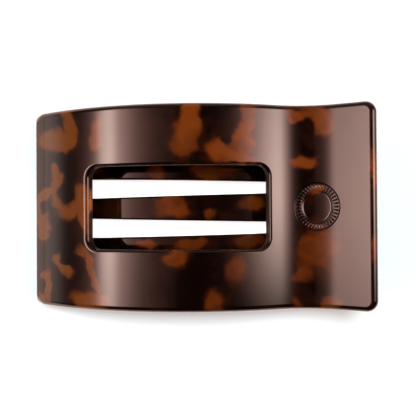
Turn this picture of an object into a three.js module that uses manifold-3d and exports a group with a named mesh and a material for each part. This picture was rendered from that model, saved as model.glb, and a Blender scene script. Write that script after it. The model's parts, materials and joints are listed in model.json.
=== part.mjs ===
// A flat hair clip (barrette) in millimetres, +Z up, lying on its back jaw.
// X runs along the clip from its tip (-X) to its levers (+X), Y runs across it, and it rests on Z = 0.
// The front jaw arches over the hair and turns about a steel pin. The back jaw lies flat against the head.

import * as THREE from "three";
import { mergeVertices } from "three/addons/utils/BufferGeometryUtils.js";
import Module from "manifold-3d";

const wasm = await Module();
wasm.setup();

// ---- Driving dimensions -------------------------------------------------------------------------------

// The front plate: a wide arch, a tight dip of the opposite curve and an almost straight lever. The arch
// leans down to the flex angle, and the dip turns the plate up to the lever angle.
const FRONT_WIDTH = 53.6;
const FRONT_THICKNESS = 3.0;
const ARCH_X = -1.42;
const ARCH_TOP = 22.1;
const ARCH_RADIUS = 68;
const DIP_RADIUS = 18.5;
const LEVER_RADIUS = 200;
const TIP_ANGLE = THREE.MathUtils.degToRad(41);
const FLEX_ANGLE = THREE.MathUtils.degToRad(19.4);
const LEVER_ANGLE = THREE.MathUtils.degToRad(26);
const LEVER_END_ANGLE = THREE.MathUtils.degToRad(29);
const FRONT_CORNER = 3.2;

// The window in the arch, measured on the outer surface.
const WINDOW_START = -29.5;
const WINDOW_END = 18.8;
const WINDOW_HALF_WIDTH = 10.9;
const WINDOW_CORNER = 3;

// The back plate: a shallow arch, rounder on the tip side, whose two ends flare out to flat feet.
const BACK_WIDTH = 50.6;
const BACK_THICKNESS = 2.8;
const BACK_X = -0.6;
const BACK_RISE = 4.78;
const BACK_TIP_RADIUS = 95;
const BACK_LEVER_RADIUS = 140;
const FLARE_RADIUS = 14;
const BACK_HALF_LENGTH = 43.4;
const BACK_CORNER = 4;

// Two tapered slots leave three tines in the back plate.
const SLOT_Y = 5.65;
const SLOT_START = -35.7;
const SLOT_END = 22.3;
const SLOT_START_RADIUS = 2.78;
const SLOT_END_RADIUS = 1.6;

// The hinge: front lugs outside, back knuckles inside, two springs between the knuckles.
const PIN_X = 26.4;
const PIN_RADIUS = 0.8;
const PIN_HOLE_RADIUS = 0.9;
const PIN_HALF_LENGTH = 14.7;
const LUG_RADIUS = 3.4;
const LUG_FOOT_HALF = 5;
const KNUCKLE_WIDTH = 3.2;
const OUTER_KNUCKLE_Y = 10.9;
const FRONT_LUG_Y = 14.4;
const CAP_RADIUS = 1.7;
const CAP_SEAT_RADIUS = 1.9;
const CAP_SEAT_DEPTH = 1;
const CAP_THICKNESS = 0.8;

// The torsion springs.
const WIRE_RADIUS = 0.55;
const COIL_RADIUS = 2.6;
const COIL_PITCH = 1.3;
const COIL_WHOLE_TURNS = 5;
const COIL_START_Y = 2.65;
const LEG_REACH = 10;
const LEG_GAP = 0.2;

// The tooth combs under the long edges of both plates.
const COMB_WIDTH = 2.2;
const FRONT_COMB_Y = 22.4;
const BACK_COMB_Y = 19;
const COMB_START = -36.7;
const TOOTH_COUNT = 9;
const TOOTH_PITCH = 5.4;
const TOOTH_FOOT = 3.6;
const TOOTH_TIP = 1.4;
const COMB_SPINE = 1.2;
const TOOTH_CLEARANCE = 1.1;

// The round thumb medallion let into the front lever.
const MEDALLION_X = 31.2;
const MEDALLION_RADIUS = 6.2;
const MEDALLION_DEPTH = 1;
const MEDALLION_RISE = 0.25;
const MEDALLION_GAP = 0.15;

// Left between bonded pieces: the thickness of the glue line.
const BOND_GAP = 0.12;

// How finely curves are drawn: the step along the plates, and the facets of a round and of a spring.
const STEP = 2;
const ROUND_STEPS = 24;
const SPRING_STEPS = 84;

// ---- Worked out from the driving dimensions -----------------------------------------------------------

const ARCH_CENTRE_Z = ARCH_TOP - ARCH_RADIUS;
const DIP_X = ARCH_X + (ARCH_RADIUS + DIP_RADIUS) * Math.sin(FLEX_ANGLE);
const DIP_CENTRE_Z = ARCH_CENTRE_Z + (ARCH_RADIUS + DIP_RADIUS) * Math.cos(FLEX_ANGLE);
const LEVER_CENTRE_X = DIP_X - (LEVER_RADIUS - DIP_RADIUS) * Math.sin(LEVER_ANGLE);
const LEVER_CENTRE_Z = DIP_CENTRE_Z + (LEVER_RADIUS - DIP_RADIUS) * Math.cos(LEVER_ANGLE);
const FLARE_CENTRE_Z = BACK_THICKNESS + FLARE_RADIUS;

// Height of the front plate at x, this far below its outer surface. All its layers share the same centres.
function frontHeight(x, depth = 0) {
  const flexX = ARCH_X + (ARCH_RADIUS - depth) * Math.sin(FLEX_ANGLE);
  const leverX = DIP_X + (DIP_RADIUS + depth) * Math.sin(LEVER_ANGLE);
  if (x < flexX) return ARCH_CENTRE_Z + Math.sqrt((ARCH_RADIUS - depth) ** 2 - (x - ARCH_X) ** 2);
  if (x < leverX) return DIP_CENTRE_Z - Math.sqrt((DIP_RADIUS + depth) ** 2 - (x - DIP_X) ** 2);
  return LEVER_CENTRE_Z - Math.sqrt((LEVER_RADIUS + depth) ** 2 - (x - LEVER_CENTRE_X) ** 2);
}

// Height of the back plate at x, this far below its upper surface. Each half is an arc, and a flare of the
// opposite curve brings it down to a flat foot.
function backHeight(x, depth = 0) {
  const radius = x < BACK_X ? BACK_TIP_RADIUS : BACK_LEVER_RADIUS;
  const run = Math.abs(x - BACK_X);
  const flareSine = Math.sqrt(1 - (1 - BACK_RISE / (radius + FLARE_RADIUS)) ** 2);
  const flatRun = (radius + FLARE_RADIUS) * flareSine;
  const arcCentreZ = BACK_THICKNESS + BACK_RISE - radius;
  if (run < (radius - depth) * flareSine) return arcCentreZ + Math.sqrt((radius - depth) ** 2 - run ** 2);
  if (run < flatRun) return FLARE_CENTRE_Z - Math.sqrt((FLARE_RADIUS + depth) ** 2 - (flatRun - run) ** 2);
  return BACK_THICKNESS - depth;
}

const PIN_Z = (frontHeight(PIN_X, FRONT_THICKNESS) + backHeight(PIN_X)) / 2;

// ---- Materials ----------------------------------------------------------------------------------------

const tortoise = new THREE.MeshStandardMaterial({ color: 0x3b1c10, roughness: 0.12, metalness: 0 });
const darkTortoise = new THREE.MeshStandardMaterial({ color: 0x24110a, roughness: 0.2, metalness: 0 });
const steel = new THREE.MeshStandardMaterial({ color: 0xb9bcc0, roughness: 0.25, metalness: 1 });

// ---- Shape helpers ------------------------------------------------------------------------------------

const clip = new THREE.Group();

function addNode(name, geometry, material) {
  const mesh = new THREE.Mesh(geometry, material);
  mesh.name = name;
  clip.add(mesh);
}

function solidFrom(geometry) {
  const bare = geometry.index ? geometry.toNonIndexed() : geometry.clone();
  bare.deleteAttribute("normal");
  bare.deleteAttribute("uv");
  const merged = mergeVertices(bare, 1e-4);
  return new wasm.Manifold(
    new wasm.Mesh({
      numProp: 3,
      vertProperties: merged.attributes.position.array,
      triVerts: new Uint32Array(merged.index.array),
    }),
  );
}

function geometryFrom(solid) {
  const { vertProperties, triVerts } = solid.getMesh();
  return new THREE.BufferGeometry()
    .setAttribute("position", new THREE.BufferAttribute(vertProperties, 3))
    .setIndex(new THREE.BufferAttribute(triVerts, 1));
}

// A side outline (x, z) extruded across the clip between two values of y.
function extrudeAcross(outline, yMin, yMax) {
  const options = { depth: yMax - yMin, bevelEnabled: false, curveSegments: ROUND_STEPS };
  return new THREE.ExtrudeGeometry(outline, options).rotateX(Math.PI / 2).translate(0, yMax, 0);
}

// A plan outline (x, y) extruded upwards between two heights.
function extrudeUp(outline, zMin, zMax) {
  const options = { depth: zMax - zMin, bevelEnabled: false, curveSegments: ROUND_STEPS / 2 };
  return new THREE.ExtrudeGeometry(outline, options).translate(0, 0, zMin);
}

// Points (x, height(x)) at even steps from one x to another.
function alongLine(height, from, to) {
  const count = Math.max(1, Math.round(Math.abs(to - from) / STEP));
  return Array.from({ length: count + 1 }, (_, i) => {
    const x = THREE.MathUtils.lerp(from, to, i / count);
    return new THREE.Vector2(x, height(x));
  });
}

function roundedRectangle(xMin, xMax, halfWidth, radius) {
  const outline = new THREE.Shape();
  outline.absarc(xMax - radius, halfWidth - radius, radius, 0, Math.PI / 2);
  outline.absarc(xMin + radius, halfWidth - radius, radius, Math.PI / 2, Math.PI);
  outline.absarc(xMin + radius, radius - halfWidth, radius, Math.PI, 1.5 * Math.PI);
  outline.absarc(xMax - radius, radius - halfWidth, radius, 1.5 * Math.PI, 2 * Math.PI);
  return outline;
}

function cylinderAcross(radius, x, z, yMin, yMax) {
  const cylinder = new THREE.CylinderGeometry(radius, radius, yMax - yMin, ROUND_STEPS);
  return cylinder.translate(x, (yMin + yMax) / 2, z);
}

// ---- Front plate --------------------------------------------------------------------------------------

// x where a line square to the plate, at an angle from the vertical, meets the layer at this depth.
const tipX = (depth) => ARCH_X - (ARCH_RADIUS - depth) * Math.sin(TIP_ANGLE);
const leverEndX = (depth) => LEVER_CENTRE_X + (LEVER_RADIUS + depth) * Math.sin(LEVER_END_ANGLE);

// A layer of the front plate between two depths, over the whole plate.
function frontLayer(top, bottom, halfWidth) {
  const upper = alongLine((x) => frontHeight(x, top), tipX(top), leverEndX(top));
  const lower = alongLine((x) => frontHeight(x, bottom), leverEndX(bottom), tipX(bottom));
  return extrudeAcross(new THREE.Shape([...upper, ...lower]), -halfWidth, halfWidth);
}

// The window's cutter. Its walls fan out from the arch's centre, so they stand square to the plate.
function windowCutter() {
  const outline = roundedRectangle(WINDOW_START, WINDOW_END, WINDOW_HALF_WIDTH, WINDOW_CORNER);
  const cutter = extrudeUp(outline, ARCH_TOP - 14, ARCH_TOP + 2);
  const points = cutter.attributes.position;
  for (let i = 0; i < points.count; i++) {
    const x = points.getX(i);
    const spread = (points.getZ(i) - ARCH_CENTRE_Z) / (frontHeight(x) - ARCH_CENTRE_Z);
    points.setX(i, ARCH_X + (x - ARCH_X) * spread);
  }
  return cutter;
}

// A round plug square to the lever, centred on the medallion.
function medallionCylinder(radius) {
  const angle = Math.asin((MEDALLION_X - DIP_X) / DIP_RADIUS);
  return new THREE.CylinderGeometry(radius, radius, 4 * MEDALLION_DEPTH, 2 * ROUND_STEPS)
    .rotateX(Math.PI / 2)
    .rotateY(-angle)
    .translate(MEDALLION_X, 0, frontHeight(MEDALLION_X));
}

function frontPlate() {
  const plan = roundedRectangle(tipX(0), leverEndX(FRONT_THICKNESS), FRONT_WIDTH / 2, FRONT_CORNER);
  const pocketFloor = MEDALLION_DEPTH + MEDALLION_GAP;
  const pocketLayer = solidFrom(frontLayer(-2 * MEDALLION_DEPTH, pocketFloor, 2 * MEDALLION_RADIUS));
  const pocketRound = solidFrom(medallionCylinder(MEDALLION_RADIUS + MEDALLION_GAP));
  const plate = solidFrom(frontLayer(0, FRONT_THICKNESS, FRONT_WIDTH / 2))
    .intersect(solidFrom(extrudeUp(plan, 0, ARCH_TOP + 5)))
    .subtract(solidFrom(windowCutter()))
    .subtract(pocketRound.intersect(pocketLayer));
  return geometryFrom(plate);
}

function medallion() {
  const layer = solidFrom(frontLayer(-MEDALLION_RISE, MEDALLION_DEPTH, 2 * MEDALLION_RADIUS));
  return geometryFrom(solidFrom(medallionCylinder(MEDALLION_RADIUS)).intersect(layer));
}

// ---- Back plate ---------------------------------------------------------------------------------------

function slotCutter(side) {
  const outline = new THREE.Shape();
  const across = side * SLOT_Y;
  outline.absarc(SLOT_START + SLOT_START_RADIUS, across, SLOT_START_RADIUS, Math.PI / 2, 1.5 * Math.PI);
  outline.absarc(SLOT_END - SLOT_END_RADIUS, across, SLOT_END_RADIUS, -Math.PI / 2, Math.PI / 2);
  return extrudeUp(outline, -1, ARCH_TOP);
}

function backPlate() {
  const start = BACK_X - BACK_HALF_LENGTH;
  const end = BACK_X + BACK_HALF_LENGTH;
  const upper = alongLine((x) => backHeight(x), start, end);
  const lower = alongLine((x) => backHeight(x, BACK_THICKNESS), end, start);
  const band = extrudeAcross(new THREE.Shape([...upper, ...lower]), -BACK_WIDTH / 2, BACK_WIDTH / 2);
  const plan = roundedRectangle(start, end, BACK_WIDTH / 2, BACK_CORNER);
  const plate = solidFrom(band)
    .intersect(solidFrom(extrudeUp(plan, -1, ARCH_TOP)))
    .subtract(solidFrom(slotCutter(1)))
    .subtract(solidFrom(slotCutter(-1)));
  return geometryFrom(plate);
}

// ---- Hinge --------------------------------------------------------------------------------------------

// A lug's side outline: a foot along its plate, above or below the pin, and a round eye about the pin.
function lugOutline(foot, isAbove) {
  const outline = new THREE.Shape(foot);
  const sweepStart = isAbove ? Math.PI : 0;
  outline.absarc(PIN_X, PIN_Z, LUG_RADIUS, sweepStart, sweepStart + Math.PI);
  const hole = new THREE.Path();
  hole.absarc(PIN_X, PIN_Z, PIN_HOLE_RADIUS, 0, 2 * Math.PI, true);
  outline.holes.push(hole);
  return outline;
}

function frontLug(side) {
  const height = (x) => frontHeight(x, FRONT_THICKNESS + BOND_GAP);
  const foot = alongLine(height, PIN_X + LUG_FOOT_HALF, PIN_X - LUG_FOOT_HALF);
  const middle = side * FRONT_LUG_Y;
  const outerFace = middle + (side * KNUCKLE_WIDTH) / 2;
  const seatFloor = outerFace - side * CAP_SEAT_DEPTH;
  const lug = extrudeAcross(lugOutline(foot, true), middle - KNUCKLE_WIDTH / 2, middle + KNUCKLE_WIDTH / 2);
  const seatEnds = [seatFloor, outerFace + side].sort((a, b) => a - b);
  const seat = cylinderAcross(CAP_SEAT_RADIUS, PIN_X, PIN_Z, ...seatEnds);
  return geometryFrom(solidFrom(lug).subtract(solidFrom(seat)));
}

function backKnuckle(middle) {
  const foot = alongLine((x) => backHeight(x) + BOND_GAP, PIN_X - LUG_FOOT_HALF, PIN_X + LUG_FOOT_HALF);
  return extrudeAcross(lugOutline(foot, false), middle - KNUCKLE_WIDTH / 2, middle + KNUCKLE_WIDTH / 2);
}

function pinCap(side) {
  const seatFloor = side * (FRONT_LUG_Y + KNUCKLE_WIDTH / 2 - CAP_SEAT_DEPTH + 0.1);
  const ends = [seatFloor, seatFloor + side * CAP_THICKNESS].sort((a, b) => a - b);
  return cylinderAcross(CAP_RADIUS, PIN_X, PIN_Z, ...ends);
}

// ---- Torsion springs ----------------------------------------------------------------------------------

// Angle about the pin at which a straight leg to the point (dx, dz) from the pin leaves the coil.
function legAngle(dx, dz, turnSign) {
  return Math.atan2(dz, dx) + turnSign * Math.acos(COIL_RADIUS / Math.hypot(dx, dz));
}

// The wire's line: back leg, coil and front leg. The coil winds so that opening the jaws tightens it.
class SpringLine extends THREE.Curve {
  constructor(side) {
    super();
    const legX = PIN_X + LEG_REACH;
    const off = WIRE_RADIUS + LEG_GAP;
    this.side = side;
    this.backEnd = new THREE.Vector2(LEG_REACH, backHeight(legX) + off - PIN_Z);
    this.frontEnd = new THREE.Vector2(LEG_REACH, frontHeight(legX, FRONT_THICKNESS + off) - PIN_Z);
    this.startAngle = legAngle(this.backEnd.x, this.backEnd.y, -1);
    const endAngle = legAngle(this.frontEnd.x, this.frontEnd.y, 1) - 2 * Math.PI * COIL_WHOLE_TURNS;
    this.sweep = endAngle - this.startAngle;
    this.coilLength = Math.abs(this.sweep) * COIL_RADIUS;
    this.backLength = Math.sqrt(this.backEnd.lengthSq() - COIL_RADIUS ** 2);
    this.frontLength = Math.sqrt(this.frontEnd.lengthSq() - COIL_RADIUS ** 2);
  }

  coilPoint(share) {
    const angle = this.startAngle + this.sweep * share;
    return new THREE.Vector2(COIL_RADIUS * Math.cos(angle), COIL_RADIUS * Math.sin(angle));
  }

  getPoint(t) {
    const length = t * (this.backLength + this.coilLength + this.frontLength);
    const share = THREE.MathUtils.clamp((length - this.backLength) / this.coilLength, 0, 1);
    let flat = this.coilPoint(share);
    if (share === 0) flat = this.backEnd.clone().lerp(this.coilPoint(0), length / this.backLength);
    const past = length - this.backLength - this.coilLength;
    if (past > 0) flat = this.coilPoint(1).lerp(this.frontEnd, past / this.frontLength);
    const turns = Math.abs(this.sweep) / (2 * Math.PI);
    const y = this.side * (COIL_START_Y + COIL_PITCH * turns * share);
    return new THREE.Vector3(PIN_X + flat.x, y, PIN_Z + flat.y);
  }
}

function torsionSpring(side) {
  const section = new THREE.Shape();
  section.absarc(0, 0, WIRE_RADIUS, 0, 2 * Math.PI);
  const options = { steps: SPRING_STEPS, extrudePath: new SpringLine(side), curveSegments: 8 };
  return new THREE.ExtrudeGeometry(section, options);
}

// ---- Tooth combs --------------------------------------------------------------------------------------

// A comb's side outline: a spine that follows the plate and teeth that reach towards the other plate.
function combOutline(root, spine, tip, shift) {
  const start = COMB_START + shift;
  const end = start + TOOTH_PITCH * (TOOTH_COUNT - 1) + TOOTH_FOOT;
  const points = alongLine(root, start, end);
  for (let i = TOOTH_COUNT - 1; i >= 0; i--) {
    const left = start + i * TOOTH_PITCH;
    const middle = left + TOOTH_FOOT / 2;
    points.push(new THREE.Vector2(left + TOOTH_FOOT, spine(left + TOOTH_FOOT)));
    points.push(new THREE.Vector2(middle + TOOTH_TIP / 2, tip(middle)));
    points.push(new THREE.Vector2(middle - TOOTH_TIP / 2, tip(middle)));
    points.push(new THREE.Vector2(left, spine(left)));
  }
  return new THREE.Shape(points);
}

function frontComb(side) {
  const root = (x) => frontHeight(x, FRONT_THICKNESS + BOND_GAP);
  const spine = (x) => frontHeight(x, FRONT_THICKNESS + BOND_GAP + COMB_SPINE);
  const tip = (x) => backHeight(x) + TOOTH_CLEARANCE;
  const middle = side * FRONT_COMB_Y;
  return extrudeAcross(combOutline(root, spine, tip, 0), middle - COMB_WIDTH / 2, middle + COMB_WIDTH / 2);
}

function backComb(side) {
  const root = (x) => backHeight(x) + BOND_GAP;
  const spine = (x) => backHeight(x) + BOND_GAP + COMB_SPINE;
  const tip = (x) => frontHeight(x, FRONT_THICKNESS + TOOTH_CLEARANCE);
  const middle = side * BACK_COMB_Y;
  const outline = combOutline(root, spine, tip, TOOTH_PITCH / 2);
  return extrudeAcross(outline, middle - COMB_WIDTH / 2, middle + COMB_WIDTH / 2);
}

// ---- The clip -----------------------------------------------------------------------------------------

addNode("front_plate", frontPlate(), tortoise);
addNode("thumb_medallion", medallion(), darkTortoise);
addNode("back_plate", backPlate(), tortoise);
addNode("hinge_pin", cylinderAcross(PIN_RADIUS, PIN_X, PIN_Z, -PIN_HALF_LENGTH, PIN_HALF_LENGTH), steel);
addNode("back_knuckle_centre", backKnuckle(0), tortoise);

for (const [label, side] of [["upper", 1], ["lower", -1]]) {
  addNode(`back_knuckle_${label}`, backKnuckle(side * OUTER_KNUCKLE_Y), tortoise);
  addNode(`front_lug_${label}`, frontLug(side), tortoise);
  addNode(`pin_cap_${label}`, pinCap(side), darkTortoise);
  addNode(`torsion_spring_${label}`, torsionSpring(side), steel);
  addNode(`front_comb_${label}`, frontComb(side), tortoise);
  addNode(`back_comb_${label}`, backComb(side), tortoise);
}

export default clip;
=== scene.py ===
"""The looks of a flat tortoiseshell hair clip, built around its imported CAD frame.

Sizes are in millimetres, as in the CAD, and MM turns them into the frame's metres where a mesh is made.
A plate is drawn flat, as (along, across, height above its middle layer), and then bent to the clip's curve.
In those plans "along" runs from the tip to the lever, and "across" over the clip's width.
"""

import json
import math
from math import cos, pi, radians, sin

import bmesh
import bpy
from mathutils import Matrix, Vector


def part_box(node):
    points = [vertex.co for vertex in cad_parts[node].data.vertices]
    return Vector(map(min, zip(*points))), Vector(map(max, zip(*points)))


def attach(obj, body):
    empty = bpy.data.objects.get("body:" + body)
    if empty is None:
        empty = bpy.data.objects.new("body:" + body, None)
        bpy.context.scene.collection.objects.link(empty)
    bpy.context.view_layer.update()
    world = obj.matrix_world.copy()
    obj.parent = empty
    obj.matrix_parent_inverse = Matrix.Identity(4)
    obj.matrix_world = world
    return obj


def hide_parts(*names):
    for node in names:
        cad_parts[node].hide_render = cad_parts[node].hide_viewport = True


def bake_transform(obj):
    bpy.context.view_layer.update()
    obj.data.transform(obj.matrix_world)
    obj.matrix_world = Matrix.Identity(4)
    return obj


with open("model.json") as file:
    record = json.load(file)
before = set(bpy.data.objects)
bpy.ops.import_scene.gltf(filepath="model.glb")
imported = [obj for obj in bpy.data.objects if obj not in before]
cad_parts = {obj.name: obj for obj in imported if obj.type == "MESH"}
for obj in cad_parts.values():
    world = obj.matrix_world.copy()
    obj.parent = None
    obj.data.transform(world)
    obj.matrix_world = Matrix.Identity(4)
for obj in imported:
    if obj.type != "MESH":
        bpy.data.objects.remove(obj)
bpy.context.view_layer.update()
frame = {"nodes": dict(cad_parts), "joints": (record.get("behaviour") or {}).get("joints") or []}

MM = 0.001
BODY_BACK = "back_jaw"
BODY_FRONT = "front_jaw"

# ---- The clip's driving dimensions ---------------------------------------------------------------
# They are the CAD's, but the window is shorter by 0.4 mm at the tip's end and 0.2 mm at the lever's.

ARCH_X = -1.42
ARCH_TOP = 22.1
ARCH_RADIUS = 68
DIP_RADIUS = 18.5
LEVER_RADIUS = 200
TIP_ANGLE = radians(41)
FLEX_ANGLE = radians(19.4)
LEVER_ANGLE = radians(26)
LEVER_END_ANGLE = radians(29)
FRONT_THICKNESS = 3.0
FRONT_CORNER = 2.9

WINDOW_START = -29.1
WINDOW_END = 18.6
WINDOW_HALF_WIDTH = 10.9
WINDOW_CORNER = 3.0
WINDOW_RIM = 0.8
WINDOW_RIM_SPREAD = 0.6
TIP_ROUNDING = 0.6

BACK_X = -0.6
BACK_THICKNESS = 2.8
BACK_RISE = 4.78
BACK_TIP_RADIUS = 95
BACK_LEVER_RADIUS = 140
FLARE_RADIUS = 14
BACK_HALF_LENGTH = 43.4
BACK_CORNER = 4
SLOT_Y = 5.65
SLOT_START = -35.7
SLOT_END = 22.3
SLOT_START_RADIUS = 2.78
SLOT_END_RADIUS = 1.6
SLOT_RIM = 0.55
BACK_RIM = 1.1

MEDALLION_X = 31.2
MEDALLION_RADIUS = 6.2
MEDALLION_GAP = 0.12
MEDALLION_DEPTH = 1.0
POCKET_FILLET = 0.15
POCKET_RIM = 0.12

COIL_RADIUS = 2.6
WIRE_RADIUS = 0.55
WIRE_END_SHARE = 0.86
COIL_PITCH = 1.3
COIL_WHOLE_TURNS = 5
COIL_START_Y = 2.65
COIL_STEPS = 40
LEG_REACH = 10
LEG_GAP = 0.2
LEG_STEPS = 8

FRONT_WIDTH = (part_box("front_plate")[1].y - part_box("front_plate")[0].y) / MM
BACK_WIDTH = (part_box("back_plate")[1].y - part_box("back_plate")[0].y) / MM
PIN_X, _, PIN_Z = (value / MM for value in frame["joints"][0]["pos_m"])

# ---- The two curves ------------------------------------------------------------------------------

ARCH_MIDDLE = ARCH_RADIUS - FRONT_THICKNESS / 2
DIP_MIDDLE = DIP_RADIUS + FRONT_THICKNESS / 2
LEVER_MIDDLE = LEVER_RADIUS + FRONT_THICKNESS / 2
ARCH_CENTRE_Z = ARCH_TOP - ARCH_RADIUS
DIP_X = ARCH_X + (ARCH_RADIUS + DIP_RADIUS) * sin(FLEX_ANGLE)
DIP_CENTRE_Z = ARCH_CENTRE_Z + (ARCH_RADIUS + DIP_RADIUS) * cos(FLEX_ANGLE)
LEVER_CENTRE_X = DIP_X - (LEVER_RADIUS - DIP_RADIUS) * sin(LEVER_ANGLE)
LEVER_CENTRE_Z = DIP_CENTRE_Z + (LEVER_RADIUS - DIP_RADIUS) * cos(LEVER_ANGLE)
FRONT_START = -ARCH_MIDDLE * TIP_ANGLE
FRONT_FLEX = ARCH_MIDDLE * FLEX_ANGLE
LEVER_START = FRONT_FLEX + DIP_MIDDLE * (FLEX_ANGLE + LEVER_ANGLE)
FRONT_END = LEVER_START + LEVER_MIDDLE * (LEVER_END_ANGLE - LEVER_ANGLE)

FLARE_MIDDLE = FLARE_RADIUS + BACK_THICKNESS / 2
FLARE_CENTRE_Z = BACK_THICKNESS + FLARE_RADIUS


class BackHalf:
    """The back plate from its middle to one end: a shallow arc, a flare curved upwards and a flat foot."""

    def __init__(self, radius, side):
        self.side = side
        self.radius = radius
        self.middle = radius - BACK_THICKNESS / 2
        self.centre_z = BACK_THICKNESS + BACK_RISE - radius
        self.flare_angle = math.acos(1 - BACK_RISE / (radius + FLARE_RADIUS))
        self.flat_x = (radius + FLARE_RADIUS) * sin(self.flare_angle)
        self.arc_run = self.middle * self.flare_angle
        self.flare_run = self.arc_run + FLARE_MIDDLE * self.flare_angle
        self.end = side * (self.flare_run + BACK_HALF_LENGTH - self.flat_x)

    def bend(self, run, height):
        if run <= self.arc_run:
            lean = run / self.middle
            x = (self.middle + height) * sin(lean)
            z = self.centre_z + (self.middle + height) * cos(lean)
        elif run <= self.flare_run:
            lean = (self.flare_run - run) / FLARE_MIDDLE
            x = self.flat_x - (FLARE_MIDDLE - height) * sin(lean)
            z = FLARE_CENTRE_Z - (FLARE_MIDDLE - height) * cos(lean)
        else:
            lean = 0
            x = self.flat_x + run - self.flare_run
            z = BACK_THICKNESS / 2 + height
        return BACK_X + self.side * x, z, self.side * lean

    def height(self, run):
        """Height of the upper surface."""
        if run < self.radius * sin(self.flare_angle):
            return self.centre_z + math.sqrt(self.radius**2 - run**2)
        if run < self.flat_x:
            return FLARE_CENTRE_Z - math.sqrt(FLARE_RADIUS**2 - (self.flat_x - run) ** 2)
        return BACK_THICKNESS


BACK_HALVES = {-1: BackHalf(BACK_TIP_RADIUS, -1), 1: BackHalf(BACK_LEVER_RADIUS, 1)}


def front_bend(along, height):
    """(x, z, lean) of a point of the front plate. lean is how far its upward direction leans towards +X."""
    if along <= FRONT_FLEX:
        lean = along / ARCH_MIDDLE
        reach = ARCH_MIDDLE + height
        return ARCH_X + reach * sin(lean), ARCH_CENTRE_Z + reach * cos(lean), lean
    if along <= LEVER_START:
        lean = FLEX_ANGLE - (along - FRONT_FLEX) / DIP_MIDDLE
        reach = DIP_MIDDLE - height
        return DIP_X - reach * sin(lean), DIP_CENTRE_Z - reach * cos(lean), lean
    lean = -LEVER_ANGLE - (along - LEVER_START) / LEVER_MIDDLE
    reach = LEVER_MIDDLE - height
    return LEVER_CENTRE_X - reach * sin(lean), LEVER_CENTRE_Z - reach * cos(lean), lean


def back_bend(along, height):
    return BACK_HALVES[-1 if along < 0 else 1].bend(abs(along), height)


def front_along(x):
    """Distance along the front plate's middle layer under its outer surface at x, on the arch or the dip."""
    lean = math.asin((x - ARCH_X) / ARCH_RADIUS)
    if lean <= FLEX_ANGLE:
        return ARCH_MIDDLE * lean
    return FRONT_FLEX + DIP_MIDDLE * (FLEX_ANGLE + math.asin((x - DIP_X) / DIP_RADIUS))


def back_along(x):
    """Distance along the back plate's middle layer under its upper surface's point at x."""
    half = BACK_HALVES[-1 if x < BACK_X else 1]
    run = abs(x - BACK_X)
    if run < half.radius * sin(half.flare_angle):
        return half.side * half.middle * math.asin(run / half.radius)
    if run < half.flat_x:
        return half.side * (half.flare_run - FLARE_MIDDLE * math.asin((half.flat_x - run) / FLARE_RADIUS))
    return half.side * (half.flare_run + run - half.flat_x)


def front_height(x, depth=0):
    """Height of the front plate at x, this far below its outer surface."""
    if x < ARCH_X + (ARCH_RADIUS - depth) * sin(FLEX_ANGLE):
        return ARCH_CENTRE_Z + math.sqrt((ARCH_RADIUS - depth) ** 2 - (x - ARCH_X) ** 2)
    if x < DIP_X + (DIP_RADIUS + depth) * sin(LEVER_ANGLE):
        return DIP_CENTRE_Z - math.sqrt((DIP_RADIUS + depth) ** 2 - (x - DIP_X) ** 2)
    return LEVER_CENTRE_Z - math.sqrt((LEVER_RADIUS + depth) ** 2 - (x - LEVER_CENTRE_X) ** 2)


def back_height(x):
    return BACK_HALVES[-1 if x < BACK_X else 1].height(abs(x - BACK_X))


# ---- Mesh helpers --------------------------------------------------------------------------------

# A bent plate is cut across about this often.
SLICE = 1.0
CORNER_STEPS = 14
# A fully rounded edge keeps this much of a flat, so that the faces beside it aren't empty.
ROUND_EDGE_GAP = 1e-4


def to_mesh(name, bm):
    mesh = bpy.data.meshes.new(name)
    bm.to_mesh(mesh)
    bm.free()
    for face in mesh.polygons:
        face.use_smooth = True
    return mesh


def new_object(mesh, material, body, slot, *nodes):
    """A finished piece, named after its mesh: shown instead of the CAD nodes, and moving with their body.

    Without a body, it moves with neither.
    """
    mesh.materials.append(material)
    piece = bpy.data.objects.new(mesh.name, mesh)
    bpy.context.scene.collection.objects.link(piece)
    if body:
        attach(piece, body)
    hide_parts(*nodes)
    return piece


def rounded_rectangle(start, end, half_width, radius, steps=CORNER_STEPS):
    """Outline as arcs joined by straights: (along, across, radius, first angle, last angle, steps)."""
    across = half_width - radius
    return [
        (end - radius, across, radius, 0, pi / 2, steps),
        (start + radius, across, radius, pi / 2, pi, steps),
        (start + radius, -across, radius, pi, 1.5 * pi, steps),
        (end - radius, -across, radius, 1.5 * pi, 2 * pi, steps),
    ]


def tapered_slot(start, end, across, start_radius, end_radius, steps=16):
    return [
        (end - end_radius, across, end_radius, -pi / 2, pi / 2, steps),
        (start + start_radius, across, start_radius, pi / 2, 1.5 * pi, steps),
    ]


def circle(along, across, radius, steps=72):
    return [(along, across, radius, 0, 2 * pi * (steps - 1) / steps, steps - 1)]


def outline_points(arcs, grow):
    """(along, across, outward along, outward across) round the outline, moved outwards by grow."""
    for along, across, radius, first, last, steps in arcs:
        for i in range(steps + 1):
            angle = first + (last - first) * i / steps
            out = (cos(angle), sin(angle))
            yield along + (radius + grow) * out[0], across + (radius + grow) * out[1], *out


def edge_profile(low, high, radius, steps=6):
    """A wall's section with rounded ends, from bottom to top: (set back, height, level, upright).

    level and upright are the outward direction's shares along the sheet and across its thickness.
    """
    section = []
    for base, first in ((low + radius, -pi / 2), (high - radius, 0)):
        for i in range(steps + 1):
            angle = first + (pi / 2) * i / steps
            section.append((radius * (1 - cos(angle)), base + radius * sin(angle), cos(angle), sin(angle)))
    if high - low - 2 * radius < 1e-6:
        del section[steps]
    return section


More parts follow.
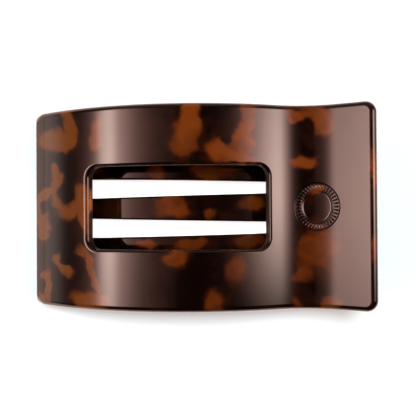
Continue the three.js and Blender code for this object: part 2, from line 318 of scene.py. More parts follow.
def add_wall(bm, flat_normal, arcs, side, section, satin_and_glowing=False, spread=0):
    """Joins the section's rings round an outline. side is 1 on an outer edge and -1 round a hole.

    A satin wall is in the mesh's second material up to its upper rounding; that material glows with painted
    light.
    spread widens the rounding towards the tip.
    """
    rings = []
    for set_back, height, level, upright in section:
        ring = []
        for along, across, out_along, out_across in outline_points(arcs, 0):
            stretch = 1 + spread * max(0, -out_along)
            out = Vector((out_along, out_across, 0)) * side
            vert = bm.verts.new(Vector((along, across, height)) - out * set_back * stretch)
            vert[flat_normal] = out * level / stretch + Vector((0, 0, upright))
            ring.append(vert)
        rings.append(ring)
    for lower, upper, (_, _, _, upright) in zip(rings, rings[1:], section[1:]):
        for i, vert in enumerate(lower):
            j = (i + 1) % len(lower)
            face = bm.faces.new((vert, lower[j], upper[j], upper[i]))
            face.material_index = 1 if satin_and_glowing and upright < 0.01 else 0
    return rings[0], rings[-1]


def join_rings(bm, rings):
    for near, far in zip(rings, rings[1:]):
        for i in range(len(near)):
            j = (i + 1) % len(near)
            bm.faces.new((near[i], far[i], far[j], near[j]))


def close_ring(bm, ring, centre):
    """Fills a ring with triangles that meet at its centre."""
    hub = bm.verts.new(centre)
    for i in range(len(ring)):
        bm.faces.new((hub, ring[i], ring[(i + 1) % len(ring)]))


def fill_between(bm, rings):
    """Fills the flat face between rings, the first of which is the outer one."""
    edges = [bm.edges.get((ring[i - 1], ring[i])) for ring in rings for i in range(len(ring))]
    bmesh.ops.triangle_fill(bm, edges=edges, use_beauty=True)


def bent_mesh(name, bm, flat_normal, bend):
    """Slices a flat mesh across, bends it, and gives it the bent surface's own normals."""
    alongs = [v.co.x for v in bm.verts]
    first, last = min(alongs), max(alongs)
    count = round((last - first) / SLICE)
    for i in range(1, count):
        everything = bm.verts[:] + bm.edges[:] + bm.faces[:]
        cut = Vector((first + (last - first) * i / count, 0, 0))
        bmesh.ops.bisect_plane(bm, geom=everything, plane_co=cut, plane_no=(1, 0, 0), dist=1e-5)
    bmesh.ops.recalc_face_normals(bm, faces=bm.faces)
    normals = []
    for vert in bm.verts:
        flat = vert[flat_normal].normalized()
        x, z, lean = bend(vert.co.x, vert.co.z)
        vert.co = Vector((x, vert.co.y, z)) * MM
        turned_x = flat.x * cos(lean) + flat.z * sin(lean)
        turned_z = flat.z * cos(lean) - flat.x * sin(lean)
        normals.append(Vector((turned_x, flat.y, turned_z)))
    mesh = to_mesh(name, bm)
    mesh.normals_split_custom_set_from_vertices(normals)
    return mesh


# ---- Materials -----------------------------------------------------------------------------------


class Nodes:
    """Fills a node tree: each call adds a node, links its inputs and returns an output."""

    def __init__(self, tree):
        self.tree = tree

    def add(self, kind, inputs=(), output=0, **settings):
        node = self.tree.nodes.new(kind)
        for key, value in settings.items():
            setattr(node, key, value)
        for key, value in dict(inputs).items():
            if isinstance(value, bpy.types.NodeSocket):
                self.tree.links.new(value, node.inputs[key])
            else:
                node.inputs[key].default_value = value
        return node.outputs[output]

    def math(self, operation, *values):
        return self.add("ShaderNodeMath", dict(enumerate(values)), operation=operation)

    def vector(self, operation, *values):
        return self.add("ShaderNodeVectorMath", dict(enumerate(values)), operation=operation)

    def scaled(self, vector, factor):
        """A vector or a constant, times an output."""
        product = self.vector("SCALE", vector)
        self.tree.links.new(factor, product.node.inputs["Scale"])
        return product

    def length(self, vector):
        return self.add("ShaderNodeVectorMath", {0: vector}, "Value", operation="LENGTH")

    def noise(self, vector, size_mm, detail=2.0, roughness=0.5, output="Fac"):
        """Noise whose features are about size_mm across."""
        inputs = {"Vector": vector, "Scale": 1 / (size_mm * MM), "Detail": detail, "Roughness": roughness}
        return self.add("ShaderNodeTexNoise", inputs, output)

    def step(self, value, low, high):
        """0 below low, 1 above high and smooth between. low may be above high."""
        inputs = {"Value": value, "From Min": low, "From Max": high}
        return self.add("ShaderNodeMapRange", inputs, interpolation_type="SMOOTHSTEP")

    def mix(self, share, a, b):
        """Mix of two colours."""
        return self.add("ShaderNodeMix", {0: share, 6: a, 7: b}, output=2, data_type="RGBA")

    def between(self, value, low, high):
        """low where the value is 0, high where it is 1."""
        return self.add("ShaderNodeMapRange", {"Value": value, "To Min": low, "To Max": high})


class Finish(Nodes):
    """A material's nodes. set and link give its shader a constant or an output."""

    def __init__(self, name):
        self.material = bpy.data.materials.new(name)
        self.material.use_nodes = True
        super().__init__(self.material.node_tree)
        self.shader = self.tree.nodes["Principled BSDF"]

    def set(self, socket, value):
        self.shader.inputs[socket].default_value = value

    def link(self, value, socket):
        self.tree.links.new(value, self.shader.inputs[socket])

    def place(self):
        """The point's place in the clip, the same in every pose."""
        return self.add("ShaderNodeTexCoord", output="Object")


# Patches on the plates seen from above: (x, y, half length, half width, turn in degrees), in millimetres.
FRONT_AMBER = [
    (-40.0, 19.0, 4.0, 2.2, 0), (-34.6, 22.5, 1.7, 4.2, 8), (-35.9, 17.6, 2.6, 1.9, 0),
    (-38.6, 9.3, 1.5, 1.8, 0), (-38.7, 5.7, 1.5, 3.4, 0), (-37.6, 1.7, 2.3, 1.7, 0),
    (-34.7, -0.6, 3.0, 2.2, 0), (-31.7, 2.0, 2.0, 4.0, -10), (-30.0, -2.4, 1.4, 3.8, 0),
    (-43.3, 3.9, 2.0, 1.5, 0), (-41.0, 4.6, 1.8, 1.0, 0), (-44.6, 1.0, 1.1, 3.0, 0),
    (-42.8, -3.3, 2.2, 2.3, 0), (-43.2, -6.0, 1.5, 2.0, 0), (-38.6, -13.8, 1.0, 1.2, 0),
    (-36.6, -15.7, 2.9, 1.0, -38),
    (-42.4, -19.0, 1.8, 1.5, 0), (-43.9, -25.0, 1.6, 1.8, 0), (-41.4, -21.8, 1.1, 4.0, 0),
    (-28.4, -24.1, 4.2, 1.9, 0), (-31.5, -11.9, 1.3, 1.4, 0), (-28.9, -14.4, 0.9, 3.4, 15),
    (-27.1, -18.5, 0.8, 3.4, 10), (-26.3, 19.3, 1.7, 3.6, 0),
    (-1.1, 24.4, 1.2, 3.2, 0), (-1.8, 20.8, 1.5, 2.6, 0), (-2.9, 17.0, 2.8, 3.6, 0),
    (-5.6, -13.0, 2.3, 1.8, 0), (12.6, 22.4, 1.9, 4.2, 0), (11.8, 16.8, 2.6, 2.8, 0),
    (6.6, 14.9, 3.3, 2.6, 0), (9.2, 12.7, 4.7, 1.5, 0),
    (28.9, 24.2, 4.8, 1.8, 0), (25.3, 22.9, 1.4, 1.3, 0), (32.7, 20.9, 1.9, 3.0, 0),
    (28.0, 11.7, 2.4, 1.6, 0), (31.6, 3.6, 2.0, 0.9, 0), (31.5, -11.2, 3.8, 4.6, 0),
    (27.6, -17.2, 2.0, 2.6, 0),
    (9.9, -15.6, 2.0, 2.6, 0), (4.6, -24.2, 1.7, 2.3, 0),
    (44.4, 9.5, 1.0, 4.0, 0), (44.8, -10.5, 0.9, 2.4, 0), (34.5, -24.9, 2.0, 1.5, 0),
    (26.3, -25.4, 1.2, 1.5, 0),
]
FRONT_DARK = [
    (-38.8, 24.6, 2.8, 3.3, 0), (-35.5, 3.7, 2.3, 2.9, 0), (-42.0, 1.0, 1.4, 2.0, 0),
    (-34.7, -8.2, 3.9, 4.9, 0), (-43.6, -21.7, 1.2, 2.1, 0), (8.0, 22.5, 3.4, 3.9, 0),
    (8.0, 18.3, 1.7, 1.7, 0), (29.7, 16.6, 5.4, 2.9, 0), (29.3, 20.6, 1.9, 2.8, 0),
    (29.4, -22.8, 3.2, 4.0, 0),
]
BACK_AMBER = [
    (-7.6, 0.6, 4.4, 2.6, -15), (3.3, -1.7, 1.4, 1.2, 0), (-12.2, 10.4, 2.4, 1.8, 0),
    (1.9, 10.3, 2.5, 2.0, 0), (-1.4, -9.8, 3.8, 1.8, 0), (4.5, 10.0, 3.6, 1.8, 0),
    (-14.4, -10.6, 2.6, 0.9, 0), (14.2, -9.6, 3.4, 1.7, 0), (15.4, 1.2, 3.4, 1.5, 0),
    (-30.0, 16.0, 4.0, 5.0, 20), (-18.0, -19.0, 5.0, 3.0, 0), (26.0, -14.0, 3.0, 5.0, 10),
    (34.0, 8.0, 4.0, 6.0, -20), (14.0, 20.0, 5.0, 3.0, 0), (-40.0, -6.0, 2.5, 6.0, 0),
    (38.0, -20.0, 4.0, 3.0, 0), (-4.0, 20.0, 3.0, 3.0, 0), (2.0, -20.0, 4.0, 2.5, 30),
    (-34.0, -19.0, 3.0, 3.0, 0), (38.0, 21.0, 3.0, 2.5, 0),
]
# The drifting outlines eat into small patches, so all are drawn a little larger than listed.
PATCH_SCALE = 1.12
# How softly neighbouring patches run into each other.
PATCH_MERGE = 0.35


def patch_field(nodes, point, patches):
    """Smallest distance to a patch's middle, as a share of that patch's size: below 1 inside."""
    field = None
    for x, y, half_length, half_width, turn in patches:
        inputs = {
            "Vector": point,
            "Location": (x * MM, y * MM, 0),
            "Rotation": (0, 0, radians(turn)),
            "Scale": (half_length * PATCH_SCALE * MM, half_width * PATCH_SCALE * MM, 1),
        }
        local = nodes.add("ShaderNodeMapping", inputs, vector_type="TEXTURE")
        reach = nodes.length(local)
        field = reach if field is None else nodes.math("SMOOTH_MIN", field, reach, PATCH_MERGE)
    return field


DARK = (0.0035, 0.0012, 0.0006, 1)
DARK_WARM = (0.018, 0.0055, 0.003, 1)
HALO = (0.055, 0.0135, 0.004, 1)
AMBER_DEEP = (0.135, 0.029, 0.003, 1)
AMBER = (0.205, 0.0475, 0.0042, 1)
AMBER_PALE = (0.195, 0.062, 0.010, 1)
# Where the patch field turns into each layer: (nothing, full).
HALO_EDGE = (1.8, 0.9)
INSIDE_EDGE = (1.34, 0.7)
CORE_EDGE = (0.95, 0.3)
CLEAR_EDGE = (0.6, 1.25)
# The outlines drift by noise: (its size, how far it moves them), in millimetres.
DRIFTS = ((8, 4.5), (3.5, 2.2), (1.2, 0.35))
# Painted light: towards the tip the amber is paler, as if more light fell on it there. Near the middle of the
# lower edge it is thinner.
PAINTED_TIP_LIGHT = (-18 * MM, -38 * MM)
THIN_ALONG = (-14 * MM, 4 * MM)
THIN_ACROSS = (10 * MM, -16 * MM)
THINNING = 0.5
# Painted light: the satin window wall glows in the amber's own colour, standing in for light that comes
# through the amber at the window's thin edge, as a share of that colour.
PAINTED_WALL_GLOW = 1.3
# Roughness, from its least to its most.
POLISHED = (0.055, 0.10)
SATIN = (0.28, 0.38)
ACETATE_IOR = 1.49


def tortoiseshell(name, amber_patches=(), dark_patches=(), amber_share=1.0, polished=True):
    """Acetate: near-black brown with soft-edged amber patches, cloudy inside and glossy on top.

    Walls that a polishing wheel can't reach aren't polished: they keep a tumbled, satin finish, and glow with
    painted light in their own colour.
    """
    nodes = Finish(name)
    place = nodes.place()
    warped = place
    for size, reach in DRIFTS:
        noise = nodes.noise(place, size, detail=1, output="Color")
        centred = nodes.vector("SUBTRACT", noise, (0.5, 0.5, 0.5))
        warped = nodes.vector("ADD", warped, nodes.vector("MULTIPLY", centred, (reach * MM,) * 3))
    if amber_patches:
        level = nodes.vector("MULTIPLY", warped, (1, 1, 0))
        amber_reach = patch_field(nodes, level, amber_patches)
        halo = nodes.step(amber_reach, *HALO_EDGE)
        inside = nodes.step(amber_reach, *INSIDE_EDGE)
        core = nodes.step(amber_reach, *CORE_EDGE)
        if dark_patches:
            clear = nodes.step(patch_field(nodes, level, dark_patches), *CLEAR_EDGE)
            inside = nodes.math("MULTIPLY", inside, clear)
            halo = nodes.math("MULTIPLY", halo, clear)
    else:
        cloud = nodes.noise(warped, 9, detail=1.5, roughness=0.4)
        halo = nodes.step(cloud, 0.5, 0.57)
        inside = nodes.step(cloud, 0.55, 0.61)
        core = nodes.step(cloud, 0.58, 0.72)
    smoke = nodes.noise(warped, 9, detail=3, roughness=0.6)
    fine = nodes.noise(warped, 2.6, detail=3, roughness=0.55)
    soft = nodes.noise(warped, 5, detail=1, roughness=0.4)
    dark = nodes.mix(nodes.step(smoke, 0.42, 0.72), DARK, DARK_WARM)
    dark = nodes.mix(nodes.math("MULTIPLY", halo, nodes.step(fine, 0.2, 0.75)), dark, HALO)
    amber = nodes.mix(nodes.step(soft, 0.38, 0.58), AMBER_DEEP, AMBER)
    glow = nodes.math("MULTIPLY", core, nodes.step(smoke, 0.35, 0.65))
    amber = nodes.mix(nodes.math("MULTIPLY", glow, 0.5), amber, AMBER_PALE)
    share = nodes.math("MULTIPLY", inside, amber_share)
    if amber_patches:
        along, across, _ = nodes.add("ShaderNodeSeparateXYZ", {0: place}).node.outputs
        # Painted light: the amber turns paler towards the tip.
        amber = nodes.mix(nodes.step(along, *PAINTED_TIP_LIGHT), amber, AMBER_PALE)
        thin = nodes.math("MULTIPLY", nodes.step(along, *THIN_ALONG), nodes.step(across, *THIN_ACROSS))
        kept = nodes.math("SUBTRACT", 1.0, nodes.math("MULTIPLY", thin, THINNING))
        share = nodes.math("MULTIPLY", share, kept)
    shell = nodes.mix(share, dark, amber)
    nodes.link(shell, "Base Color")
    polish = nodes.noise(place, 3.5, detail=5, roughness=0.7)
    nodes.link(nodes.between(polish, *(POLISHED if polished else SATIN)), "Roughness")
    nodes.set("IOR", ACETATE_IOR)
    if polished:
        nodes.set("Coat Weight", 1)
        nodes.set("Coat Roughness", 0.05)
        nodes.set("Coat IOR", 1.5)
    else:
        nodes.set("Specular IOR Level", 0.2)
        # Painted light: the unpolished wall glows, standing in for light coming through the amber at its
        # edge.
        nodes.link(shell, "Emission Color")
        nodes.set("Emission Strength", PAINTED_WALL_GLOW)
    waves = nodes.noise(place, 14, detail=1)
    bump = nodes.add("ShaderNodeBump", {"Strength": 0.12, "Distance": 0.25 * MM, "Height": waves})
    nodes.link(bump, "Normal")
    return nodes.material


def wire_steel(name, colour, roughness):
    """Drawn or ground steel: bright, with fine marks across the wire and a little uneven darkening."""
    nodes = Finish(name)
    place = nodes.place()
    stretched = nodes.vector("MULTIPLY", place, (1, 0.12, 1))
    marks = nodes.noise(stretched, 0.12, detail=4, roughness=0.7)
    tarnish = nodes.noise(place, 2.5, detail=3)
    shade = nodes.math("MULTIPLY", nodes.step(tarnish, 0.4, 0.75), 0.35)
    worn = [0.6 * value for value in colour]
    nodes.link(nodes.mix(shade, (*colour, 1), (*worn, 1)), "Base Color")
    nodes.link(nodes.between(marks, roughness, roughness + 0.16), "Roughness")
    bump = nodes.add("ShaderNodeBump", {"Strength": 0.25, "Distance": 0.02 * MM, "Height": marks})
    nodes.link(bump, "Normal")
    nodes.set("Metallic", 1)
    return nodes.material


front_shell = tortoiseshell("front_tortoiseshell", FRONT_AMBER, FRONT_DARK)
window_wall = tortoiseshell("window_wall_tortoiseshell", FRONT_AMBER, FRONT_DARK, polished=False)
back_shell = tortoiseshell("back_tortoiseshell", BACK_AMBER, amber_share=0.8)
plain_shell = tortoiseshell("small_piece_tortoiseshell", amber_share=0.75)
spring_wire = wire_steel("spring_wire", (0.62, 0.61, 0.60), 0.2)
pin_metal = wire_steel("ground_pin", (0.66, 0.66, 0.67), 0.14)

# ---- Front plate ---------------------------------------------------------------------------------


def front_plate():
    half = FRONT_THICKNESS / 2
    bm = bmesh.new()
    flat_normal = bm.verts.layers.float_vector.new("flat_normal")
    outline = rounded_rectangle(FRONT_START, FRONT_END, FRONT_WIDTH / 2, FRONT_CORNER)
    start, end = front_along(WINDOW_START), front_along(WINDOW_END)
    window = rounded_rectangle(start, end, WINDOW_HALF_WIDTH, WINDOW_CORNER)
    pocket = circle(front_along(MEDALLION_X), 0, MEDALLION_RADIUS + MEDALLION_GAP)
    bullnose = edge_profile(-half, half, half - ROUND_EDGE_GAP, 8)
    outer_low, outer_high = add_wall(bm, flat_normal, outline, 1, bullnose)
    window_section = edge_profile(-half, half, WINDOW_RIM)
    # The window's wall is satin and glows with painted light.
    window_low, window_high = add_wall(
        bm, flat_normal, window, -1, window_section, satin_and_glowing=True, spread=WINDOW_RIM_SPREAD
    )
    floor = half - MEDALLION_DEPTH - MEDALLION_GAP
    pocket_section = [(-POCKET_FILLET, floor, 0, 1), (0, floor + POCKET_FILLET, 1, 0)]
    rim = edge_profile(floor, half, POCKET_RIM, 3)
    pocket_section += [step for step in rim if step[1] > floor + POCKET_FILLET]
    pocket_low, pocket_high = add_wall(bm, flat_normal, pocket, -1, pocket_section)
    fill_between(bm, [outer_high, window_high, pocket_high])
    fill_between(bm, [outer_low, window_low])
    fill_between(bm, [pocket_low])
    # The tip's edge is rounded less deeply than the others.
    for vert in bm.verts:
        inset = vert.co.x - FRONT_START
        if inset < half:
            vert.co.x = FRONT_START + inset * TIP_ROUNDING / half
            vert[flat_normal] = vert[flat_normal] * Vector((half / TIP_ROUNDING, 1, 1))
    mesh = bent_mesh("front_plate_shell", bm, flat_normal, front_bend)
    new_object(mesh, front_shell, BODY_FRONT, "tortoiseshell", "front_plate")
    mesh.materials.append(window_wall)


front_plate()

# ---- Back plate ----------------------------------------------------------------------------------


def back_plate():
    half = BACK_THICKNESS / 2
    bm = bmesh.new()
    flat_normal = bm.verts.layers.float_vector.new("flat_normal")
    outline = rounded_rectangle(BACK_HALVES[-1].end, BACK_HALVES[1].end, BACK_WIDTH / 2, BACK_CORNER)
    start, end = back_along(SLOT_START), back_along(SLOT_END)
    outer_low, outer_high = add_wall(bm, flat_normal, outline, 1, edge_profile(-half, half, BACK_RIM, 7))
    lows, highs = [outer_low], [outer_high]
    for side in (1, -1):
        slot = tapered_slot(start, end, side * SLOT_Y, SLOT_START_RADIUS, SLOT_END_RADIUS)
        low, high = add_wall(bm, flat_normal, slot, -1, edge_profile(-half, half, SLOT_RIM))
        lows.append(low)
        highs.append(high)
    fill_between(bm, highs)
    fill_between(bm, lows)
    mesh = bent_mesh("back_plate_shell", bm, flat_normal, back_bend)
    new_object(mesh, back_shell, BODY_BACK, "tortoiseshell", "back_plate")


back_plate()

# ---- Thumb medallion -----------------------------------------------------------------------------

BEAD_COUNT = 38
BEAD_STEPS = 8
BEAD_START = 4.65
BEAD_END = 5.85
BEAD_RISE = 0.2
RING_RADIUS = 4.3
RING_HALF_WIDTH = 0.24
RING_RISE = 0.14
MEDALLION_EDGE = 0.18
# The face's rings of points: over its plain middle, from just inside the thin ring out over the beads, and
# round the edge.
MIDDLE_STEP = 0.1
MIDDLE_RINGS = 37
BEAD_RINGS = 28
INNER_RINGS = 3
EDGE_RINGS = 5


def hump(value, middle, half_width):
    """A smooth bump, 1 at the middle and 0 half_width away. A power below 1 makes it fuller."""
    return max(0, cos(pi / 2 * min(1, abs(value - middle) / half_width))) ** 1.2


def medallion_relief(radius, angle):
    """Height of the medallion's face above the lever's: a plain middle, a thin ring and a ring of beads."""
    bead = hump(radius, (BEAD_START + BEAD_END) / 2, (BEAD_END - BEAD_START) / 2) ** 0.45
    bead *= BEAD_RISE * max(0, cos(BEAD_COUNT * angle)) ** 0.7
    ring = RING_RISE * hump(radius, RING_RADIUS, RING_HALF_WIDTH)
    edge = min(1, (MEDALLION_RADIUS - radius) / MEDALLION_EDGE)
    return bead + ring - MEDALLION_EDGE * (1 - math.sqrt(max(0, 1 - (1 - edge) ** 2)))


def thumb_medallion():
    middle = front_along(MEDALLION_X)
    half = FRONT_THICKNESS / 2
    around = BEAD_STEPS * BEAD_COUNT
    bead_step = (MEDALLION_RADIUS - MEDALLION_EDGE - RING_RADIUS) / BEAD_RINGS
    radii = [MIDDLE_STEP * (i + 1) for i in range(MIDDLE_RINGS)]
    radii += [RING_RADIUS + bead_step * i for i in range(-INNER_RINGS, BEAD_RINGS + 1)]
    for i in range(EDGE_RINGS):
        radii.append(MEDALLION_RADIUS - MEDALLION_EDGE * (1 - sin(pi / 2 * (i + 1) / EDGE_RINGS)))

    def place(radius, angle, height):
        x, z, _ = front_bend(middle + radius * cos(angle), half + height)
        return Vector((x, radius * sin(angle), z)) * MM

    bm = bmesh.new()
    angles = [2 * pi * i / around for i in range(around)]
    rings = [[bm.verts.new(place(r, a, medallion_relief(r, a))) for a in angles] for r in sorted(radii)]
    rings.append([bm.verts.new(place(MEDALLION_RADIUS, a, -MEDALLION_DEPTH)) for a in angles])
    join_rings(bm, rings)
    close_ring(bm, rings[0], place(0, 0, medallion_relief(0, 0)))
    close_ring(bm, rings[-1], place(0, 0, -MEDALLION_DEPTH))
    bmesh.ops.recalc_face_normals(bm, faces=bm.faces)
    mesh = to_mesh("beaded_medallion", bm)
    new_object(mesh, front_shell, BODY_FRONT, "dark_tortoiseshell", "thumb_medallion")


thumb_medallion()

# ---- Lugs, knuckles and combs: the CAD solids with their edges rounded ---------------------------

HINGE_ROUNDING = 0.3
COMB_ROUNDING = 0.25
MERGE_DISTANCE = 0.001
FLAT_ANGLE = radians(0.5)
SHARP_ANGLE = radians(35)


def rounded_copy(node, body, rounding):
    bm = bmesh.new()
    bm.from_mesh(frame["nodes"][node].data)
    bmesh.ops.remove_doubles(bm, verts=bm.verts, dist=MERGE_DISTANCE * MM)
    bmesh.ops.dissolve_limit(bm, angle_limit=FLAT_ANGLE, verts=bm.verts, edges=bm.edges)
    sharp = [edge for edge in bm.edges if edge.is_manifold and edge.calc_face_angle() > SHARP_ANGLE]
    shape = {"segments": 3, "affect": "EDGES", "profile": 0.5, "clamp_overlap": True}
    bmesh.ops.bevel(bm, geom=sharp, offset=rounding * MM, **shape)
    bmesh.ops.recalc_face_normals(bm, faces=bm.faces)
    mesh = to_mesh(node + "_rounded", bm)
    piece = new_object(mesh, plain_shell, body, "tortoiseshell", node)
    even = piece.modifiers.new("even_normals", "WEIGHTED_NORMAL")
    even.keep_sharp = False


rounded_copy("back_knuckle_centre", BODY_BACK, HINGE_ROUNDING)
for label in ("upper", "lower"):
    rounded_copy("back_knuckle_" + label, BODY_BACK, HINGE_ROUNDING)
    rounded_copy("front_lug_" + label, BODY_FRONT, HINGE_ROUNDING)
    rounded_copy("front_comb_" + label, BODY_FRONT, COMB_ROUNDING)
    rounded_copy("back_comb_" + label, BODY_BACK, COMB_ROUNDING)

# ---- Hinge pin and its caps ----------------------------------------------------------------------

# The pin's worn edge: (back from its end, below its radius).
PIN_EDGE = [(0, 0.25), (0.07, 0.1), (0.25, 0)]
CAP_EDGE = 0.08
CAP_DOME = 0.45
CAP_STEPS = 8


def lathe_across(name, section, steps=40):
    """A solid of revolution about the hinge's axis, from (across, radius) points that start and end on it."""
    bm = bmesh.new()
    angles = [2 * pi * i / steps for i in range(steps)]
    rings = []
    for across, radius in section[1:-1]:
        points = [Vector((PIN_X + radius * cos(a), across, PIN_Z + radius * sin(a))) * MM for a in angles]
        rings.append([bm.verts.new(point) for point in points])
    join_rings(bm, rings)
    for ring, (across, _) in ((rings[0], section[0]), (rings[-1], section[-1])):
        close_ring(bm, ring, Vector((PIN_X, across, PIN_Z)) * MM)
    bmesh.ops.recalc_face_normals(bm, faces=bm.faces)
    return to_mesh(name, bm)


def hinge_pin():
    low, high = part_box("hinge_pin")
    radius = (high.x - low.x) / 2 / MM
    half = high.y / MM
    end = [(half, 0)] + [(half - back, radius - drop) for back, drop in PIN_EDGE]
    section = [(-across, r) for across, r in end] + end[::-1]
    mesh = lathe_across("ground_hinge_pin", section)
    new_object(mesh, pin_metal, BODY_BACK, "pin_steel", "hinge_pin")


def pin_cap(label, side):
    low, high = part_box("pin_cap_" + label)
    radius = (high.x - low.x) / 2 / MM
    inner, outer = sorted((low.y / MM, high.y / MM), key=abs)
    section = [(inner, 0), (inner, radius - CAP_EDGE), (inner + side * CAP_EDGE, radius)]
    for i in range(CAP_STEPS + 1):
        lean = pi / 2 * i / CAP_STEPS
        section.append((outer - side * CAP_DOME * (1 - sin(lean)), radius * cos(lean)))
    mesh = lathe_across("domed_cap_" + label, section)
    new_object(mesh, plain_shell, BODY_FRONT, "dark_tortoiseshell", "pin_cap_" + label)


hinge_pin()
for label, side in (("upper", 1), ("lower", -1)):
    pin_cap(label, side)

# ---- Torsion springs -----------------------------------------------------------------------------


def leg_angle(reach_x, reach_z, turn_sign):
    """Angle about the pin at which a straight leg to this point leaves the coil."""
    return math.atan2(reach_z, reach_x) + turn_sign * math.acos(COIL_RADIUS / math.hypot(reach_x, reach_z))


def spring_line(side):
    """Points along the wire's middle, in millimetres: back leg, coil and front leg."""
    leg_x = PIN_X + LEG_REACH
    off = WIRE_RADIUS + LEG_GAP
    back_end = (LEG_REACH, back_height(leg_x) + off - PIN_Z)
    front_end = (LEG_REACH, front_height(leg_x, FRONT_THICKNESS + off) - PIN_Z)
    start = leg_angle(*back_end, -1)
    sweep = leg_angle(*front_end, 1) - 2 * pi * COIL_WHOLE_TURNS - start
    turns = abs(sweep) / (2 * pi)
    steps = round(turns * COIL_STEPS)
    coil = []
    for i in range(steps + 1):
        angle = start + sweep * i / steps
        y = side * (COIL_START_Y + COIL_PITCH * turns * i / steps)
        coil.append(Vector((PIN_X + COIL_RADIUS * cos(angle), y, PIN_Z + COIL_RADIUS * sin(angle))))
    first = Vector((PIN_X + back_end[0], coil[0].y, PIN_Z + back_end[1]))
    last = Vector((PIN_X + front_end[0], coil[-1].y, PIN_Z + front_end[1]))
    back_leg = [first.lerp(coil[0], i / LEG_STEPS) for i in range(LEG_STEPS)]
    front_leg = [coil[-1].lerp(last, (i + 1) / LEG_STEPS) for i in range(LEG_STEPS)]
    return back_leg + coil + front_leg


def torsion_spring(label, side, facets=14):
    line = spring_line(side)
    across = Vector((0, 1, 0))
    angles = [2 * pi * i / facets for i in range(facets)]
    bm = bmesh.new()
    rings = []
    for i, point in enumerate(line):
        along = (line[min(i + 1, len(line) - 1)] - line[max(i - 1, 0)]).normalized()
        flat = (across - across.dot(along) * along).normalized()
        up = along.cross(flat)
        is_end = i in (0, len(line) - 1)
        radius = WIRE_RADIUS * (WIRE_END_SHARE if is_end else 1)
        rings.append([bm.verts.new((point + radius * (cos(a) * flat + sin(a) * up)) * MM) for a in angles])
    join_rings(bm, rings)
    bm.faces.new(rings[0])
    bm.faces.new(rings[-1])
    bmesh.ops.recalc_face_normals(bm, faces=bm.faces)
    mesh = to_mesh("wound_spring_" + label, bm)
    spring = new_object(mesh, spring_wire, None, "spring_steel", "torsion_spring_" + label)
    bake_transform(spring)


for label, side in (("upper", 1), ("lower", -1)):
    torsion_spring(label, side)

# ---- Camera, floor and light ---------------------------------------------------------------------

# The camera hangs above the clip and looks almost straight down. CAMERA_TILT is in degrees.
CAMERA_PLACE = (2.9, -1.55, 168.5)
CAMERA_TILT = (0.53, 0.08, -0.38)


def look_down():
    camera = bpy.data.objects.new("camera", bpy.data.cameras.new("camera"))
    camera.data.lens = 50
    camera.data.sensor_width = 36
    camera.data.clip_start = 0.01
    camera.data.clip_end = 10
    camera.location = Vector(CAMERA_PLACE) * MM
    camera.rotation_euler = [radians(angle) for angle in CAMERA_TILT]
    bpy.context.scene.collection.objects.link(camera)
    bpy.context.scene.camera = camera


WHITE = (1, 1, 1, 1)
FLOOR_SIZE = 3.0
FLOOR_SHADE = (0.70, 0.83, 0.87, 1)
# The floor's shade where the polish mirrors it.
FLOOR_MIRRORED = (0.66, 0.54, 0.48, 1)
FLOOR_GLOW = 0.16
# The floor glows more in a panel under the clip, and far away from it.
PANEL_GLOW = 0.85
PANEL_HALF = (34, 15)
PANEL_SOFTNESS = 5
# Where the far glow starts and where it is full, in metres.
FLOOR_FADE = (0.15, 0.7)


def pale_floor():
    bm = bmesh.new()
    bmesh.ops.create_grid(bm, x_segments=1, y_segments=1, size=FLOOR_SIZE / 2)
    mesh = to_mesh("floor", bm)
    nodes = Finish("pale_floor")
    is_mirrored = nodes.add("ShaderNodeLightPath", output="Is Glossy Ray")
    nodes.link(nodes.mix(is_mirrored, FLOOR_SHADE, FLOOR_MIRRORED), "Base Color")
    nodes.set("Roughness", 0.9)
    nodes.set("Specular IOR Level", 0.05)
    nodes.set("Emission Color", WHITE)
    reach = nodes.vector("ABSOLUTE", nodes.place())
    along, across, _ = nodes.add("ShaderNodeSeparateXYZ", {0: reach}).node.outputs
    edges = [((half + PANEL_SOFTNESS) * MM, half * MM) for half in PANEL_HALF]
    panel = nodes.math("MULTIPLY", nodes.step(along, *edges[0]), nodes.step(across, *edges[1]))
    share = nodes.math("MAXIMUM", panel, nodes.step(nodes.length(reach), *FLOOR_FADE))
    glow = nodes.between(share, FLOOR_GLOW, PANEL_GLOW)
    nodes.link(nodes.math("MULTIPLY", glow, nodes.math("SUBTRACT", 1.0, is_mirrored)), "Emission Strength")
    mesh.materials.append(nodes.material)
    floor = bpy.data.objects.new("floor", mesh)
    floor.location.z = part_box("back_plate")[0].z
    bpy.context.scene.collection.objects.link(floor)
    return floor


def overhead_light(name, location, size, watts, only=None):
    """A large soft light that isn't mirrored in the polish. With only, it lights just that object."""
    light = bpy.data.lights.new(name, "AREA")
    light.size = size
    light.energy = watts
    key = bpy.data.objects.new(name, light)
    key.location = location
    key.rotation_euler = (-Vector(location)).to_track_quat("-Z", "Y").to_euler()
    key.visible_glossy = False
    if only:
        receivers = bpy.data.collections.new(name + "_receivers")
        receivers.objects.link(only)
        key.light_linking.receiver_collection = receivers
    bpy.context.scene.collection.objects.link(key)


# The room's brightness by angle from the vertical, in degrees and positive towards the levers: two soft
# boxes that run along the clip's width, and near darkness between them.
ROOM_BRIGHTNESS = [
    (-90, 1.05), (-82, 0.72), (-79, 0.5), (-75, 0.15), (-70, 0.1), (-64, 0.25), (-60, 0.55), (-57, 1),
    (-54, 2.4), (-51, 5.9), (-48, 7.4), (-45.5, 7.6), (-43, 5.5), (-41, 4), (-39.5, 3.4), (-37.5, 2.9),
    (-34, 1.9), (-29, 0.95), (-22, 0.36), (-12, 0.15), (-8, 0), (8, 0), (17, 0.15), (24, 0.6), (31, 2.7),
    (38, 5.4), (46, 8.2), (52, 5.5), (64, 3), (74, 0.6), (90, 0.25),
]
# The boxes' colour where they fade out and where they are brightest.
BOX_FADED = (1, 0.37, 0.29)
BOX_BRIGHT = (1, 0.71, 0.62)
# The room's colour beside the tip, close to the floor.
LOW_ANGLE = -72
LOW_COLOUR = (1, 0.74, 0.68)
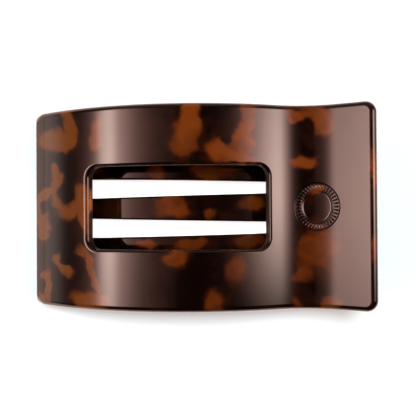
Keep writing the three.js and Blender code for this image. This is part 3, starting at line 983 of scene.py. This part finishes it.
# How far the soft boxes reach to either side of the clip, as the sine of the angle: (dark, full) at each end.
LEFT_NEAR_END = (-0.46, 0.02)
LEFT_FAR_END = (0.62, 0.05)
RIGHT_NEAR_END = (-0.22, 0.05)
RIGHT_FAR_END = (0.55, 0.0)
# The glow of the room's far side, whose edge is given as the boxes' ends are, and of the room all round.
FAR_WALL = (0.2, 0.135, 0.12)
FAR_WALL_EDGE = (0.45, 0.8)
ROOM_SHADE = (0.012, 0.006, 0.005)


def room_colour(degrees, share):
    if degrees < LOW_ANGLE:
        return LOW_COLOUR
    return [faded + (bright - faded) * share**0.4 for faded, bright in zip(BOX_FADED, BOX_BRIGHT)]


def studio_world():
    """Two soft boxes in a dark room, which the polish mirrors, against white where the camera looks."""
    world = bpy.data.worlds.new("studio")
    bpy.context.scene.world = world
    world.use_nodes = True
    nodes = Nodes(world.node_tree)
    direction = nodes.add("ShaderNodeTexCoord", output="Generated")
    x, y, z = nodes.add("ShaderNodeSeparateXYZ", {0: direction}).node.outputs
    angle = nodes.math("ARCTAN2", x, z)
    place = nodes.add("ShaderNodeMapRange", {"Value": angle, "From Min": -pi / 2, "From Max": pi / 2})
    boxes = nodes.add("ShaderNodeValToRGB", {0: place})
    ramp = boxes.node.color_ramp
    ramp.interpolation = "B_SPLINE"
    brightest = max(value for _, value in ROOM_BRIGHTNESS)
    for i, (degrees, value) in enumerate(ROOM_BRIGHTNESS):
        position = degrees / 180 + 0.5
        stop = ramp.elements[i] if i in (0, 1) else ramp.elements.new(position)
        stop.position = position
        share = value / brightest
        stop.color = (*[share * channel for channel in room_colour(degrees, share)], 1)
    is_right = nodes.math("GREATER_THAN", angle, 0)
    limits = []
    for left, right in ((LEFT_NEAR_END, RIGHT_NEAR_END), (LEFT_FAR_END, RIGHT_FAR_END)):
        sides = {0: is_right, 2: nodes.step(y, *left), 3: nodes.step(y, *right)}
        limits.append(nodes.add("ShaderNodeMix", sides))
    power = nodes.math("MULTIPLY", nodes.math("MULTIPLY", *limits), brightest)
    far = nodes.scaled(FAR_WALL, nodes.step(y, *FAR_WALL_EDGE))
    lit = nodes.vector("ADD", nodes.vector("ADD", nodes.scaled(boxes, power), ROOM_SHADE), far)
    is_seen = nodes.add("ShaderNodeLightPath", output="Is Camera Ray")
    background = nodes.tree.nodes["Background"]
    nodes.tree.links.new(nodes.mix(is_seen, lit, WHITE), background.inputs["Color"])


look_down()
floor = pale_floor()
overhead_light("overhead_key", (-0.02, 0.2, 1.0), size=0.3, watts=3.85)
overhead_light("floor_key", (0.06, 0.25, 1.0), size=0.24, watts=5.0, only=floor)
studio_world()
bpy.context.scene.view_settings.view_transform = "Standard"
bpy.context.scene.view_settings.look = "None"
